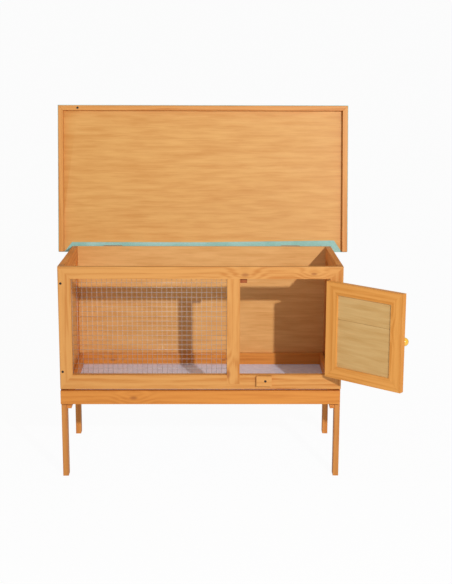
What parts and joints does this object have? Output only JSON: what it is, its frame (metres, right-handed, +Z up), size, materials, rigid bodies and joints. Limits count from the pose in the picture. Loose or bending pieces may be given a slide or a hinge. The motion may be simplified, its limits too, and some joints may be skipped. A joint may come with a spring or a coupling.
{
  "type": "guinea pig hutch",
  "caption": "Raised wooden hutch with a sloping hinged roof lid, a wire mesh window, a side-hung door with a turn button, and a slide-out floor drawer.",
  "frame": {"origin": "on the floor, in the middle of the left front foot", "axes": "+Z up, -Y out of the front with the mesh and the door, +X to the right seen from the front"},
  "size_m": [1.135, 0.7683, 1.1593],
  "materials": {
    "front_frame_wood": "varnished orange pine, satin",
    "leg_wood": "varnished orange pine, satin",
    "side_wood": "varnished orange pine, satin",
    "side_plywood": "varnished plywood, satin",
    "back_plywood": "varnished plywood, satin",
    "drawer_wood": "varnished orange pine, satin",
    "drawer_floor_board": "hardboard with a pale lavender face, satin",
    "door_wood": "varnished orange pine, satin",
    "door_board_wood": "pale khaki pine boards, satin",
    "knob_finish": "golden yellow, glossy",
    "button_wood": "varnished orange pine, satin",
    "lid_plywood": "varnished plywood, satin",
    "batten_wood": "varnished orange pine, satin",
    "felt": "mineral roofing felt, teal green, matt",
    "mesh_wire": "galvanised welded wire",
    "black_screw": "black oxide, satin",
    "hinge_steel": "zinc plated steel"
  },
  "bodies": {
    "hutch": {"front_top_rail": "front_frame_wood", "front_bottom_rail": "front_frame_wood", "front_left_stile": "front_frame_wood", "front_right_stile": "front_frame_wood", "front_centre_stile": "front_frame_wood", "frame_screws": "black_screw", "door_stop_block": "front_frame_wood", "wire_mesh": "mesh_wire", "mesh_staples": "mesh_wire", "left_front_leg": "leg_wood", "right_front_leg": "leg_wood", "left_rear_leg": "leg_wood", "right_rear_leg": "leg_wood", "left_side_top_rail": "side_wood", "right_side_top_rail": "side_wood", "left_side_bottom_rail": "side_wood", "right_side_bottom_rail": "side_wood", "left_side_panel": "side_plywood", "right_side_panel": "side_plywood", "left_drawer_runner": "side_wood", "right_drawer_runner": "side_wood", "runner_screws": "black_screw", "back_panel": "back_plywood", "back_panel_screws": "black_screw", "turn_button_screw": "black_screw", "door_hinge_frame_leaves": "hinge_steel", "door_hinge_pins": "hinge_steel", "door_hinge_frame_screws": "hinge_steel", "lid_hinge_body_leaves": "hinge_steel", "lid_hinge_pins": "hinge_steel", "lid_hinge_body_screws": "hinge_steel"},
    "drawer": {"drawer_front": "drawer_wood", "drawer_left_wall": "drawer_wood", "drawer_right_wall": "drawer_wood", "drawer_back_wall": "drawer_wood", "drawer_floor": "drawer_floor_board"},
    "button": {"turn_button": "button_wood"},
    "door": {"door_top_rail": "door_wood", "door_bottom_rail": "door_wood", "door_hinge_stile": "door_wood", "door_latch_stile": "door_wood", "door_upper_board": "door_board_wood", "door_lower_board": "door_board_wood", "door_knob": "knob_finish", "door_hinge_door_leaves": "hinge_steel", "door_hinge_door_screws": "hinge_steel"},
    "lid": {"lid_panel": "lid_plywood", "lid_front_batten": "batten_wood", "lid_left_batten": "batten_wood", "lid_right_batten": "batten_wood", "lid_batten_screw": "black_screw", "roof_felt": "felt", "lid_hinge_lid_leaves": "hinge_steel", "lid_hinge_lid_screws": "hinge_steel"}
  },
  "joints": [
    {"name": "door_swing", "type": "hinge", "parent": "hutch", "child": "door", "pos_m": [0.84875, -0.0388, 0], "axis": [0, 0, 1], "range_deg": [-140, 35]},
    {"name": "lid_lift", "type": "hinge", "parent": "hutch", "child": "lid", "pos_m": [0.441, 0.4322, 0.67595], "axis": [1, 0, 0], "range_deg": [0, 97.1]},
    {"name": "drawer_slide", "type": "slide", "parent": "hutch", "child": "drawer", "axis": [0, -1, 0], "range_m": [0, 0.38]},
    {"name": "button_turn", "type": "hinge", "parent": "hutch", "child": "button", "pos_m": [0.6475, -0.0355, 0.3315], "axis": [0, 1, 0], "continuous": true}
  ]
}
